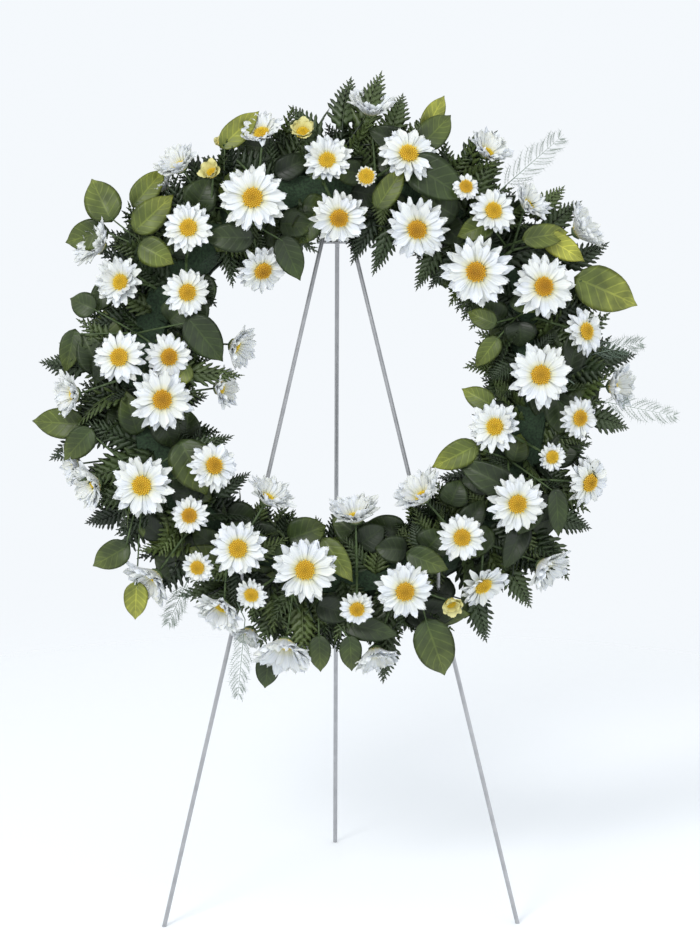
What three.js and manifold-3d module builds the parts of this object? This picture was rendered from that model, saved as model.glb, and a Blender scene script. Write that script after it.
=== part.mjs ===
// Funeral wreath of white daisies, lemon leaf, leatherleaf fern and plumosus,
// pushed into a ring of floral foam and standing on a folding wire easel.
// Millimetres, +Z up, the viewer stands on the -Y side.
import * as THREE from 'three';
import { mergeVertices } from 'three/addons/utils/BufferGeometryUtils.js';
import Module from 'manifold-3d';

const wasm = await Module();
wasm.setup();

// ---- driving dimensions ----
const GAP = 0.3; // between pieces that touch

// easel
const LEAN = THREE.MathUtils.degToRad(12); // front frame and wreath lean back
const LEG_RADIUS = 2.5;
const FOOT_SPREAD = 204; // each front foot from the middle
const LEG_CROSSING = 863; // where the two leg lines would meet, up the slope
const LEG_TOP = 850.5;
const REAR_FOOT = 300; // rear foot behind the front feet
const WIRE_RADIUS = 2; // hooks and hinge pin
const BRACE_HEIGHT = 414;
const PIN_HEIGHT = 788;
const PIN_LENGTH = 46;
const EYE_RADIUS = 7.4;
const EYE_BORE = 2.35;
const STOP_TOP = 845; // the rear leg runs on past its pin and bears on the leg tops
const TOP_HOOK_HEIGHT = 813;
const LOWER_HOOK_HEIGHT = 390.2;
const HOOK_REACH = 60;

// ring
const RING_HEIGHT = 625.5; // centre of the ring, up the slope
const RING_RADIUS = 224; // centreline of the foam
const FOAM_MIDDLE = 22; // centreline of the foam in front of the tray's back
const TRAY_HALF_WIDTH = 32;
const TRAY_DEPTH = 20;
const TRAY_WALL = 1.6;
const FOAM_HALF_WIDTH = 29;
const FOAM_DEPTH = 48;
const FOAM_SHOULDER = 30;
const FOAM_TOP_HALF_WIDTH = 16;
const RING_STEPS = 30;

// plants
const ROOT_RISE = 6; // a stem's end inside the foam, in front of its centreline
const FORK_SHARE = 0.3; // how far a fork follows its flowers sideways
const DAISY_ROW = { shift: 0, fork: 40 }; // where roots stand across the foam, and forks above it
const SALAL_ROW = { shift: 9, fork: 34 };
const FERN_ROW = { shift: 17, fork: 29 };
const FLOWER_STEM = 1.7;
const TWIG = 1.5;
const STEM_INTO_BLADE = 0.12; // share of a blade's length that its stem runs up it
const PETAL_NOTCH = 0.82;
const CUP_DEPTH = 0.28; // of a flower's radius
const LEAF_THICKNESS = 1.6;
const LEAF_FOLD = 0.22;
const FERN_NOTCH = 0.45;

// A flower is [clock, reach, size, rise, tilt, swing]: clock in degrees from the top, reach
// from the ring's centre, diameter, rise in front of the foam's centreline, then how far it
// faces outward and clockwise, in degrees.
const SPRAYS = [
  [[357, 251, 57, 75, 15, 0], [0, 186, 66, 72, -22, 0], [352, 286, 28, 52, 35, 0]],
  [[7.5, 234, 23, 80, 5, 0], [17, 270, 71, 68, 32, 0], [7, 310, 56, 28, 62, 0]],
  [[27, 194, 74, 74, -25, 0], [33, 263, 33, 72, 20, 0], [33, 310, 54, 30, 55, 0]],
  [[42, 260, 56, 74, 20, 0], [51, 198, 82, 84, -20, 0]],
  [[47, 292, 50, 45, 55, 0], [58, 323, 58, 15, 68, 0]],
  [[65, 254, 75, 76, 15, 0], [78.5, 286, 58, 50, 42, 0]],
  [[88, 226, 75, 84, 3, 0], [98.6, 275, 50, 58, 30, 0], [91, 312, 55, 20, 62, 0]],
  [[106, 182, 60, 72, -18, 0], [109.5, 254, 34, 66, 20, 0]],
  [[112, 307, 62, 34, 42, 0], [124.6, 242, 67, 80, 10, 0]],
  [[142, 222, 57, 78, 0, 0], [144, 161, 60, 46, -56, 0]],
  [[145, 282, 62, 50, 50, 0], [132, 311, 57, 24, 60, 0]],
  [[163, 246, 69, 80, 12, 0], [153.5, 279, 24, 56, 40, 0], [172.6, 308, 54, 26, 66, 0]],
  [[173.6, 155, 60, 42, -60, 0], [176, 256, 42, 70, 20, 0]],
  [[191, 214, 76, 84, 0, 0], [203, 259, 38, 68, 22, 0]],
  [[192, 302, 68, 38, 58, 0], [200, 301, 42, 14, 70, 0], [186.5, 299, 46, 12, 70, 0]],
  [[212, 219, 66, 80, 0, 0], [212, 156, 56, 40, -58, 0]],
  [[218, 263, 38, 66, 22, 0], [208, 285, 56, 44, 52, 0]],
  [[229, 226, 44, 72, 5, 0], [224, 303, 60, 30, 62, 0]],
  [[243, 251, 74, 80, 12, 0], [237, 170, 60, 60, -28, 0]],
  [[248, 299, 55, 36, 60, 0], [253, 313, 45, 12, 70, 0]],
  [[265, 201, 74, 84, -12, 0], [268, 137, 48, 22, -60, 0]],
  [[277, 250, 63, 76, 14, 0], [268, 300, 52, 34, 60, 0]],
  [[279, 195, 56, 68, -12, 0], [290, 127, 51, 22, -60, 0]],
  [[295, 272, 58, 60, 25, 0], [300, 312, 57, 26, 60, 0]],
  [[316, 244, 60, 76, 12, 0], [301, 200, 56, 74, -15, 0]],
  [[335, 230, 80, 86, 3, 0], [326, 154, 62, 44, -38, 0]],
  [[324, 303, 52, 44, 56, 0], [318, 298, 42, 16, 70, 0], [329, 277, 24, 62, 38, 0]],
  [[343, 296, 52, 42, 45, 0], [334, 303, 14, 34, 50, 0]],
];

// A blade is [clock, reach, rise] of its foot, the same of its tip, its width and its bow.
const SALAL_SPRIGS = [
  [[17, 262, 62, 35, 252, 62, 48, 8], [12, 200, 60, 17, 256, 62, 28, 4], [19, 281, 40, 23, 331, 22, 34, 8],
    [19, 300, 30, 20.5, 350, 10, 24, 6]],
  [[54, 284, 50, 64, 312, 34, 28, 6], [52, 262, 62, 57, 312, 38, 28, 8], [44, 252, 58, 39, 212, 56, 30, 6]],
  [[66, 292, 46, 75.8, 353, 16, 50, 10], [70, 190, 54, 61, 166, 40, 24, 6], [74, 188, 50, 83.7, 156, 36, 24, 6]],
  [[114, 172, 54, 133, 142, 40, 32, 8], [99, 178, 52, 92.8, 139, 38, 26, 6], [122, 236, 60, 124, 160, 48, 36, 8],
    [116, 272, 56, 125.4, 305, 38, 24, 6]],
  [[160.3, 284, 46, 160.4, 356, 14, 46, 10], [159, 206, 60, 150, 245, 58, 30, 6]],
  [[186.7, 176, 56, 176.5, 226, 62, 28, 6], [185, 286, 46, 184, 330, 30, 26, 6],
    [178, 286, 46, 177.8, 329, 28, 26, 6], [194.7, 318, 12, 193.9, 360, 2, 28, 5]],
  [[232.6, 300, 40, 233.7, 350, 18, 32, 8], [226, 322, 24, 221, 357, 8, 28, 6],
    [250.9, 191, 66, 230, 197, 60, 50, 8], [260, 284, 46, 254.6, 325, 26, 32, 6],
    [261, 292, 30, 263.3, 353, 8, 36, 8]],
  [[287, 288, 36, 287.8, 321, 20, 30, 5], [282, 306, 28, 272.3, 312, 22, 26, 4],
    [294, 188, 62, 280.7, 134, 38, 40, 8], [277, 170, 56, 269, 192, 58, 24, 4]],
  [[305.6, 316, 28, 309.9, 366, 4, 42, 8], [304, 314, 24, 297.5, 351, 2, 36, 7],
    [306.5, 289, 46, 319, 284, 44, 36, 6], [305, 276, 56, 306, 230, 60, 34, 5]],
  [[333.3, 298, 46, 344, 322, 30, 28, 6], [338.5, 180, 48, 339.5, 124, 34, 32, 6],
    [330, 190, 56, 317, 226, 58, 34, 6], [310.6, 308, 36, 321.3, 314, 24, 30, 5]],
];
const FERN_FRONDS = [
  [[356, 275, 36, 350, 321, 24, 40, 8], [1, 290, 32, 1.7, 353, 12, 46, 12], [5, 290, 32, 8.2, 360, 8, 46, 10]],
  [[12, 290, 32, 12.8, 339, 14, 40, 10], [18, 280, 40, 18, 326, 26, 34, 8], [30, 290, 28, 32.5, 341, 8, 42, 10]],
  [[12, 190, 40, 6, 134, 30, 32, 6], [18, 186, 44, 19.8, 126, 32, 34, 8], [36, 190, 44, 40.2, 136, 30, 34, 8],
    [42, 196, 42, 46, 146, 26, 32, 8]],
  [[50, 290, 22, 49.2, 344, 2, 40, 8], [54, 290, 26, 52.6, 349, 14, 38, 8], [63, 290, 16, 62.8, 350, 2, 40, 8]],
  [[85, 290, 28, 84.8, 343, 10, 40, 10], [98, 290, 22, 98.3, 340, 4, 40, 10], [84, 196, 46, 89, 172, 40, 30, 4]],
  [[122, 288, 32, 120.2, 334, 18, 38, 8], [128, 290, 24, 130, 352, 4, 44, 10], [138, 290, 22, 139.7, 340, 6, 40, 8]],
  [[148, 290, 22, 150.6, 343, 6, 40, 8], [170, 290, 22, 171, 352, 2, 42, 10], [154, 206, 46, 152, 176, 36, 30, 4]],
  [[228, 190, 48, 225.3, 142, 34, 30, 6], [240, 288, 16, 240.5, 334, 4, 38, 8], [246, 186, 46, 243.9, 133, 34, 30, 6]],
  [[258, 290, 16, 255.3, 343, 0, 38, 8], [274, 290, 22, 273.4, 345, 6, 40, 10], [274, 186, 46, 275, 108, 30, 36, 8]],
];
const PLUMOSUS_SPRIGS = [
  [[40, 280, 30, 42.5, 384, 6, 34, 14]],
  [[94, 290, 30, 96, 393, 10, 26, 10], [84, 284, 30, 82.6, 352, 16, 24, 8]],
  [[202, 290, 24, 198, 381, 2, 24, 10], [218, 280, 24, 215.6, 340, 6, 26, 8]],
];

// ---- finishes ----
const finish = (colour, roughness, metalness = 0) =>
  new THREE.MeshStandardMaterial({ color: colour, roughness, metalness });
const STEEL = finish(0x85878d, 0.45, 0.6);
const TRAY_PLASTIC = finish(0x2f3d2c, 0.6);
const FOAM = finish(0x3d5a38, 0.95);
const PETALS = finish(0xf2f3f4, 0.6);
const LEMON_LEAF = finish(0x55673b, 0.5);
const FERN = finish(0x26361f, 0.6);
const PLUMOSUS = finish(0x8a9a8c, 0.7);

// ---- solids ----
function toSolid(geometry) {
  geometry.deleteAttribute('normal');
  geometry.deleteAttribute('uv');
  const merged = mergeVertices(geometry, 1e-3);
  const solid = new wasm.Manifold(new wasm.Mesh({
    numProp: 3,
    vertProperties: new Float32Array(merged.attributes.position.array),
    triVerts: new Uint32Array(merged.index.array),
  }));
  if (solid.volume() <= 0) throw new Error('a solid has its faces turned inwards');
  return solid;
}

function toGeometry(solid) {
  const mesh = solid.getMesh();
  const geometry = new THREE.BufferGeometry();
  geometry.setAttribute('position', new THREE.BufferAttribute(new Float32Array(mesh.vertProperties), 3));
  geometry.setIndex(new THREE.BufferAttribute(new Uint32Array(mesh.triVerts), 1));
  geometry.computeVertexNormals();
  return geometry;
}

const join = (solids) => wasm.Manifold.union(solids);
const largest = (solid) => solid.decompose().reduce((best, part) => (part.volume() > best.volume() ? part : best));

function addPiece(parent, name, solid, material) {
  const mesh = new THREE.Mesh(toGeometry(solid), material);
  mesh.name = name;
  parent.add(mesh);
}

function rod(from, to, radius, sides = 10) {
  const along = to.clone().sub(from);
  const geometry = new THREE.CylinderGeometry(radius, radius, along.length(), sides);
  const turn = new THREE.Quaternion().setFromUnitVectors(THREE.Object3D.DEFAULT_UP, along.clone().normalize());
  geometry.applyQuaternion(turn);
  geometry.translate(...from.clone().addScaledVector(along, 0.5).toArray());
  return toSolid(geometry);
}

// A wire that runs forward from `start`, then turns up through a round bend.
function hookWire(start, reach, rise, turnUp, grow) {
  const bend = 8;
  const end = start.clone().add(new THREE.Vector3(0, -reach, rise));
  const beforeBend = end.clone().add(new THREE.Vector3(0, bend, 0));
  const afterBend = end.clone().add(new THREE.Vector3(0, 0, bend));
  const path = new THREE.CurvePath();
  path.add(new THREE.LineCurve3(start, beforeBend));
  path.add(new THREE.QuadraticBezierCurve3(beforeBend, end, afterBend));
  path.add(new THREE.LineCurve3(afterBend, end.clone().add(new THREE.Vector3(0, 0, turnUp))));
  const section = new THREE.Shape().absarc(0, 0, WIRE_RADIUS + grow, 0, 2 * Math.PI);
  return toSolid(new THREE.ExtrudeGeometry(section, {
    extrudePath: path, steps: 9, curveSegments: 4, bevelEnabled: false,
  }));
}

// ---- easel, in the frame that leans back: y is 0 in the plane of the front legs ----
const halfGap = (height) => FOOT_SPREAD * (1 - height / LEG_CROSSING);

function frontLeg(side) {
  const belowFloor = -30;
  const leg = rod(
    new THREE.Vector3(side * halfGap(belowFloor), 0, belowFloor),
    new THREE.Vector3(side * halfGap(LEG_TOP), 0, LEG_TOP), LEG_RADIUS, 12);
  const ground = new THREE.BoxGeometry(1000, 400, 100);
  ground.translate(0, 0, -50);
  ground.rotateX(LEAN);
  return leg.subtract(toSolid(ground));
}

function crossBrace() {
  const behind = 2 * LEG_RADIUS + GAP;
  const end = halfGap(BRACE_HEIGHT) + 7;
  return rod(
    new THREE.Vector3(-end, behind, BRACE_HEIGHT), new THREE.Vector3(end, behind, BRACE_HEIGHT), LEG_RADIUS, 12);
}

const pinCentre = new THREE.Vector3(0, LEG_RADIUS + GAP + WIRE_RADIUS, PIN_HEIGHT);
function hingePin() {
  const half = new THREE.Vector3(PIN_LENGTH / 2, 0, 0);
  return rod(pinCentre.clone().sub(half), pinCentre.clone().add(half), WIRE_RADIUS, 16);
}

function topHook(grow = 0) {
  const front = -(LEG_RADIUS + GAP + WIRE_RADIUS);
  const end = halfGap(TOP_HOOK_HEIGHT) + 4;
  const bar = rod(
    new THREE.Vector3(-end, front, TOP_HOOK_HEIGHT), new THREE.Vector3(end, front, TOP_HOOK_HEIGHT),
    WIRE_RADIUS + grow);
  const prong = hookWire(new THREE.Vector3(0, front, TOP_HOOK_HEIGHT), HOOK_REACH - 4, 3, 24, grow);
  return bar.add(prong);
}

// A collar round the leg with a prong that carries the bottom of the ring.
function lowerHook(side, grow = 0) {
  const collarRadius = 4.6;
  const top = LOWER_HOOK_HEIGHT + 2;
  const bottom = top - 14;
  const onLeg = (height) => new THREE.Vector3(side * halfGap(height), 0, height);
  const collar = rod(onLeg(bottom), onLeg(top), collarRadius + grow, 12);
  const legRoom = rod(onLeg(bottom - 20), onLeg(top + 20), LEG_RADIUS + GAP, 12);
  const start = onLeg(LOWER_HOOK_HEIGHT).add(new THREE.Vector3(0, -LEG_RADIUS, 0));
  const prong = hookWire(start, HOOK_REACH, 0, 20, grow);
  return collar.add(prong).subtract(legRoom);
}

function rearLeg() {
  const up = new THREE.Vector3(0, Math.sin(LEAN), Math.cos(LEAN)); // the frame's own up, on the floor
  const pin = new THREE.Vector3(
    0, pinCentre.y * up.z + pinCentre.z * up.y, pinCentre.z * up.z - pinCentre.y * up.y);
  const foot = new THREE.Vector3(0, REAR_FOOT, 0);
  const past = foot.clone().sub(pin).multiplyScalar(0.03);
  const leg = rod(pin, foot.clone().add(past), LEG_RADIUS, 12);
  const finger = rod(pin, pin.clone().addScaledVector(up, STOP_TOP - PIN_HEIGHT), LEG_RADIUS, 12);
  const acrossPin = new THREE.Vector3(LEG_RADIUS, 0, 0);
  const eye = rod(pin.clone().sub(acrossPin), pin.clone().add(acrossPin), EYE_RADIUS, 18);
  const bore = rod(
    pin.clone().addScaledVector(acrossPin, -3), pin.clone().addScaledVector(acrossPin, 3), EYE_BORE, 18);
  const ground = new THREE.BoxGeometry(400, 1600, 100);
  ground.translate(0, 0, -50);
  return join([leg, finger, eye]).subtract(bore).subtract(toSolid(ground));
}

// ---- ring, in the frame of its own centre: x right, z up, the viewer at -y ----
function ringOf(profile) {
  const points = profile.map(([reach, front]) => new THREE.Vector2(reach, FOAM_MIDDLE - front)).reverse();
  points.push(points[0].clone());
  return toSolid(new THREE.LatheGeometry(points, RING_STEPS));
}

function tray() {
  const inner = RING_RADIUS - TRAY_HALF_WIDTH;
  const outer = RING_RADIUS + TRAY_HALF_WIDTH;
  return ringOf([
    [inner, 0], [outer, 0], [outer, TRAY_DEPTH], [outer - TRAY_WALL, TRAY_DEPTH],
    [outer - TRAY_WALL, TRAY_WALL], [inner + TRAY_WALL, TRAY_WALL], [inner + TRAY_WALL, TRAY_DEPTH],
    [inner, TRAY_DEPTH],
  ]);
}

function foam() {
  const back = TRAY_WALL + GAP;
  return ringOf([
    [RING_RADIUS - FOAM_HALF_WIDTH, back], [RING_RADIUS + FOAM_HALF_WIDTH, back],
    [RING_RADIUS + FOAM_HALF_WIDTH, FOAM_SHOULDER], [RING_RADIUS + FOAM_TOP_HALF_WIDTH, FOAM_DEPTH],
    [RING_RADIUS - FOAM_TOP_HALF_WIDTH, FOAM_DEPTH], [RING_RADIUS - FOAM_HALF_WIDTH, FOAM_SHOULDER],
  ]);
}

// ---- plants, in the ring's frame ----
const CLEAR = 0.35; // room left round every plant where another passes
const NUDGES = [0, 1, -1, 2, -2, 3, -3, 4, -4, 5, -5, 6, -6, 8, -8]; // degrees round the ring
const FRONT = new THREE.Vector3(0, -1, 0);
const ringForward = LEG_RADIUS + GAP + FOAM_MIDDLE;
const hooks = join([topHook(CLEAR), lowerHook(-1, CLEAR), lowerHook(1, CLEAR)])
  .translate([0, ringForward, -RING_HEIGHT]);

function onClock(clock, reach, rise) {
  const angle = THREE.MathUtils.degToRad(clock);
  return new THREE.Vector3(reach * Math.sin(angle), -rise, reach * Math.cos(angle));
}

function facing(clock, tilt, swing) {
  const outward = onClock(clock, 1, 0);
  const clockwise = onClock(clock + 90, 1, 0);
  const direction = FRONT.clone().multiplyScalar(Math.cos(THREE.MathUtils.degToRad(tilt)));
  direction.addScaledVector(outward, Math.sin(THREE.MathUtils.degToRad(tilt)));
  direction.addScaledVector(clockwise, Math.tan(THREE.MathUtils.degToRad(swing)));
  return direction.normalize();
}

function turned(profile, sides) {
  return new THREE.LatheGeometry(profile.map(([across, up]) => new THREE.Vector2(across, up)), sides);
}

// A shallow cup with a notch between its petals and a domed disc.
function petalCup(size) {
  const radius = size / 2;
  const petals = size > 45 ? 9 : size > 30 ? 7 : 5;
  const cup = turned([
    [0, -CUP_DEPTH * radius], [radius, 0], [0.27 * radius, 0.1 * radius], [0, 0.2 * radius]], 2 * petals);
  const spot = cup.attributes.position;
  for (let index = 0; index < spot.count; index += 1) {
    const across = Math.hypot(spot.getX(index), spot.getZ(index));
    const turn = Math.round((Math.atan2(spot.getX(index), spot.getZ(index)) / Math.PI) * petals);
    if (across > 0.9 * radius && turn % 2 !== 0) {
      spot.setX(index, spot.getX(index) * PETAL_NOTCH);
      spot.setZ(index, spot.getZ(index) * PETAL_NOTCH);
    }
  }
  return cup;
}

// The space that a flower head keeps for itself: the same cup, plainer and a little larger.
function cupRoom(size, grow) {
  const sides = 8;
  const radius = (size / 2 + 2 * grow) / Math.cos(Math.PI / sides);
  return turned([
    [0, -CUP_DEPTH * radius - 2 * grow], [radius, -grow], [radius, grow], [0, 0.2 * radius + 2 * grow]], sides);
}

function flowerHead([clock, reach, size, rise, tilt, swing], grow) {
  const head = grow > 0 ? cupRoom(size, grow) : petalCup(size);
  head.applyQuaternion(new THREE.Quaternion().setFromUnitVectors(
    THREE.Object3D.DEFAULT_UP, facing(clock, tilt, swing)));
  head.translate(...onClock(clock, reach, rise).toArray());
  return toSolid(head);
}

// A closed skin over a point, a row of rings and a point.
function skin(start, rings, end) {
  const corners = rings[0].length;
  const vertices = [start, ...rings.flat(), end];
  const last = vertices.length - 1;
  const index = [];
  for (let corner = 0; corner < corners; corner += 1) {
    const next = (corner + 1) % corners;
    index.push(0, 1 + corner, 1 + next);
    for (let ring = 0; ring < rings.length - 1; ring += 1) {
      const a = 1 + ring * corners;
      const b = a + corners;
      index.push(a + corner, b + next, a + next, a + corner, b + corner, b + next);
    }
    const a = 1 + (rings.length - 1) * corners;
    index.push(a + corner, last, a + next);
  }
  const geometry = new THREE.BufferGeometry();
  geometry.setAttribute('position', new THREE.Float32BufferAttribute(vertices.flatMap((v) => v.toArray()), 3));
  geometry.setIndex(index);
  return toSolid(geometry);
}

// A leaf or frond along a bowed midrib: `outline` gives the share of the width at each step.
function midribOf([clock, reach, rise, tipClock, tipReach, tipRise, , bow]) {
  const foot = onClock(clock, reach, rise);
  const tip = onClock(tipClock, tipReach, tipRise);
  const middle = foot.clone().lerp(tip, 0.5).addScaledVector(FRONT, 2 * bow);
  return new THREE.QuadraticBezierCurve3(foot, middle, tip);
}

function blade(leaf, outline, grow) {
  const width = leaf[6];
  const midrib = midribOf(leaf);
  const { v0: foot, v2: tip } = midrib;
  const side = tip.clone().sub(foot).cross(FRONT).normalize();
  const rings = outline.map((share, step) => {
    const along = (step + 1) / (outline.length + 1);
    const centre = midrib.getPoint(along);
    const up = side.clone().cross(midrib.getTangent(along)).normalize();
    const half = (share * width) / 2;
    const edge = LEAF_FOLD * half;
    const thick = LEAF_THICKNESS / 2 + grow;
    const corner = (across, lift) => centre.clone().addScaledVector(side, across).addScaledVector(up, lift);
    if (grow === 0) return [corner(-half, edge), corner(0, -thick), corner(half, edge), corner(0, thick)];
    const wide = half + 2 * grow;
    const over = Math.max(edge, LEAF_THICKNESS / 2) + 2 * grow;
    return [corner(-wide, over), corner(-wide, edge - grow), corner(0, -thick), corner(wide, edge - grow),
      corner(wide, over)];
  });
  const reachOut = tip.clone().sub(foot).normalize().multiplyScalar(2 * grow);
  return skin(foot.clone().sub(reachOut), rings, tip.clone().add(reachOut));
}

const SALAL_OUTLINE = [0.72, 1, 0.86, 0.45];
const FERN_OUTLINE = [0.9, FERN_NOTCH, 1, 0.8 * FERN_NOTCH, 0.6];
const PLUMOSUS_OUTLINE = [0.6, 0.25, 1, 0.3, 0.7];

// The forked stem of one piece, from inside the foam to the foot of each head or blade.
function stems(feet, radius, row, grow, nudge) {
  const middle = feet.reduce((sum, foot) => sum.add(foot), new THREE.Vector3()).divideScalar(feet.length);
  const clock = THREE.MathUtils.radToDeg(Math.atan2(middle.x, middle.z)) + nudge;
  const sideways = Math.hypot(middle.x, middle.z) - RING_RADIUS;
  const shift = Math.sign(sideways) * row.shift;
  const root = onClock(clock, RING_RADIUS + shift, ROOT_RISE);
  const fork = onClock(clock, RING_RADIUS + shift + FORK_SHARE * sideways, row.fork);
  const trunk = rod(root, fork, radius + 0.4 + grow, 5);
  const branches = feet.map((foot) => rod(fork.clone().lerp(root, 0.04), foot, radius + grow, 4));
  return join([trunk, ...branches]);
}

const plants = [];

// The place round the ring, near its flowers or leaves, where a stem least crosses the others.
function freestPlace(makeStems) {
  const taken = join([hooks, ...plants.map((plant) => plant.stems)]);
  const crossings = NUDGES.map((nudge) => taken.intersect(makeStems(CLEAR, nudge)).volume());
  return NUDGES[crossings.indexOf(Math.min(...crossings))];
}

function plan(name, material, makeStems, makeBlades) {
  const nudge = freestPlace(makeStems);
  plants.push({
    name, material,
    stems: makeStems(0, nudge), stemRoom: makeStems(CLEAR, nudge),
    blades: makeBlades(0), bladeRoom: makeBlades(CLEAR),
  });
}

const numbered = (stem, index) => `${stem}_${String(index + 1).padStart(2, '0')}`;

SPRAYS.forEach((heads, index) => {
  const feet = heads.map(([clock, reach, , rise]) => onClock(clock, reach, rise));
  plan(numbered('daisy_spray', index), PETALS,
    (grow, nudge) => stems(feet, FLOWER_STEM, DAISY_ROW, grow, nudge),
    (grow) => join(heads.map((head) => flowerHead(head, grow))));
});

function planFoliage(stem, sprigs, outline, row, material) {
  sprigs.forEach((blades, index) => {
    const feet = blades.map((leaf) => midribOf(leaf).getPoint(STEM_INTO_BLADE));
    plan(numbered(stem, index), material,
      (grow, nudge) => stems(feet, TWIG, row, grow, nudge),
      (grow) => join(blades.map((leaf) => blade(leaf, outline, grow))));
  });
}
planFoliage('salal_sprig', SALAL_SPRIGS, SALAL_OUTLINE, SALAL_ROW, LEMON_LEAF);
planFoliage('fern_frond', FERN_FRONDS, FERN_OUTLINE, FERN_ROW, FERN);
planFoliage('plumosus_sprig', PLUMOSUS_SPRIGS, PLUMOSUS_OUTLINE, FERN_ROW, PLUMOSUS);

// Blades and heads give way to every stem, to the hooks and to what is in front of them; a stem
// is only notched where it passes another that was there first.
function trimmed(index) {
  const before = plants.slice(0, index);
  const after = plants.slice(index + 1);
  const stemsBefore = join([hooks, ...before.map((plant) => plant.stemRoom)]);
  const inTheWay = join([stemsBefore, ...before.map((plant) => plant.bladeRoom),
    ...after.map((plant) => plant.stemRoom)]);
  const { blades, stems: ownStems } = plants[index];
  return largest(blades.subtract(inTheWay).add(ownStems.subtract(stemsBefore)));
}

// ---- assembly ----
const wreathAndEasel = new THREE.Group();
const leaning = new THREE.Group();
leaning.rotation.x = -LEAN;
wreathAndEasel.add(leaning);

addPiece(leaning, 'front_leg_left', frontLeg(-1), STEEL);
addPiece(leaning, 'front_leg_right', frontLeg(1), STEEL);
addPiece(leaning, 'cross_brace', crossBrace(), STEEL);
addPiece(leaning, 'hinge_pin', hingePin(), STEEL);
addPiece(leaning, 'top_hook', topHook(), STEEL);
addPiece(leaning, 'lower_hook_left', lowerHook(-1), STEEL);
addPiece(leaning, 'lower_hook_right', lowerHook(1), STEEL);
addPiece(wreathAndEasel, 'rear_leg', rearLeg(), STEEL);

const ring = new THREE.Group();
ring.position.set(0, -ringForward, RING_HEIGHT);
leaning.add(ring);

const rooms = join(plants.flatMap((plant) => [plant.stemRoom, plant.bladeRoom]));
addPiece(ring, 'ring_tray', tray(), TRAY_PLASTIC);
addPiece(ring, 'foam_ring', largest(foam().subtract(rooms)), FOAM);
plants.forEach((plant, index) => addPiece(ring, plant.name, trimmed(index), plant.material));

// The origin is under the middle of the whole, on the floor.
const extent = new THREE.Box3().setFromObject(wreathAndEasel, true);
wreathAndEasel.position.set(-(extent.min.x + extent.max.x) / 2, -(extent.min.y + extent.max.y) / 2, 0);

export default wreathAndEasel;
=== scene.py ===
import math
import random

import bpy
import numpy as np
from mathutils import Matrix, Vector


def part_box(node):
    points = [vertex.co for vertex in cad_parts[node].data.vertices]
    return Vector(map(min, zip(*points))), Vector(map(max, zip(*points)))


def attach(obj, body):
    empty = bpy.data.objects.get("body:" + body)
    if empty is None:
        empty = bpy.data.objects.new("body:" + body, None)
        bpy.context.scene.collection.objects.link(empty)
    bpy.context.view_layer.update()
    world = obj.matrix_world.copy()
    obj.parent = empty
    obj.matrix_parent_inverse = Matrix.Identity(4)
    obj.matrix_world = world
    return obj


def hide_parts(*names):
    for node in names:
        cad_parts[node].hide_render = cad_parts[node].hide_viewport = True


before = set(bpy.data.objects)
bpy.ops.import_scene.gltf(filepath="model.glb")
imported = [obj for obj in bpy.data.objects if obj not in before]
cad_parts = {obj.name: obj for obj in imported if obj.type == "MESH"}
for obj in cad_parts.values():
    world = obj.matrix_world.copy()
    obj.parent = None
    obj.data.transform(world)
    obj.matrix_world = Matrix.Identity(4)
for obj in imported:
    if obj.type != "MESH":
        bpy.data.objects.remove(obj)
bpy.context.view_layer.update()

# ---- Studio ----
# A pale floor that fades into a white room, and a broad soft key light from the upper left.
# The camera stands a little left of centre and looks down square on to the leaning wreath.
LEAN = math.radians(12)
RIGHT = Vector((1, 0, 0))
UP = Vector((0, math.sin(LEAN), math.cos(LEAN)))
FORWARD = Vector((0, -math.cos(LEAN), math.sin(LEAN)))
TRAY_MIDDLE_TO_FOAM_MIDDLE = 0.012
CAMERA_AWAY = 4.6
CAMERA_LEFT = 0.104
AIM_RIGHT = 0.0126
AIM_DOWN = 0.1025
tray_low, tray_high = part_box("ring_tray")
ring_centre = (tray_low + tray_high) / 2 + FORWARD * TRAY_MIDDLE_TO_FOAM_MIDDLE

camera_data = bpy.data.cameras.new("camera")
camera_data.lens = 153
camera_data.sensor_width = 36
camera = bpy.data.objects.new("camera", camera_data)
bpy.context.scene.collection.objects.link(camera)
bpy.context.scene.camera = camera
camera.location = ring_centre + FORWARD * CAMERA_AWAY - RIGHT * CAMERA_LEFT
aim = ring_centre + RIGHT * AIM_RIGHT - UP * AIM_DOWN
camera.rotation_euler = (aim - camera.location).to_track_quat("-Z", "Y").to_euler()

bpy.context.scene.view_settings.view_transform = "Standard"
world = bpy.data.worlds.new("white_room")
bpy.context.scene.world = world
world.use_nodes = True
background = world.node_tree.nodes["Background"]
background.inputs["Color"].default_value = (0.93, 0.965, 1.0, 1)
background.inputs["Strength"].default_value = 0.98


def soft_light(name, place, size, watts, colour):
    """A square area light, placed from the ring's centre and turned to face it."""
    data = bpy.data.lights.new(name, "AREA")
    data.size = size
    data.energy = watts
    data.color = colour
    light = bpy.data.objects.new(name, data)
    bpy.context.scene.collection.objects.link(light)
    light.location = ring_centre + Vector(place)
    light.rotation_euler = (-Vector(place)).to_track_quat("-Z", "Y").to_euler()


soft_light("key", (-1.4, -2.2, 1.9), 0.8, 40, (1.0, 0.99, 0.97))
soft_light("fill", (1.8, -1.8, 0.4), 1.6, 8, (0.93, 0.96, 1.0))


def mesh_object(name, vertices, faces):
    """A smooth-shaded mesh in an object at the origin."""
    mesh = bpy.data.meshes.new(name)
    mesh.from_pydata([tuple(v) for v in vertices], [], faces)
    mesh.polygons.foreach_set("use_smooth", [True] * len(mesh.polygons))
    mesh.update()
    made = bpy.data.objects.new(name, mesh)
    bpy.context.scene.collection.objects.link(made)
    return made


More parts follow.
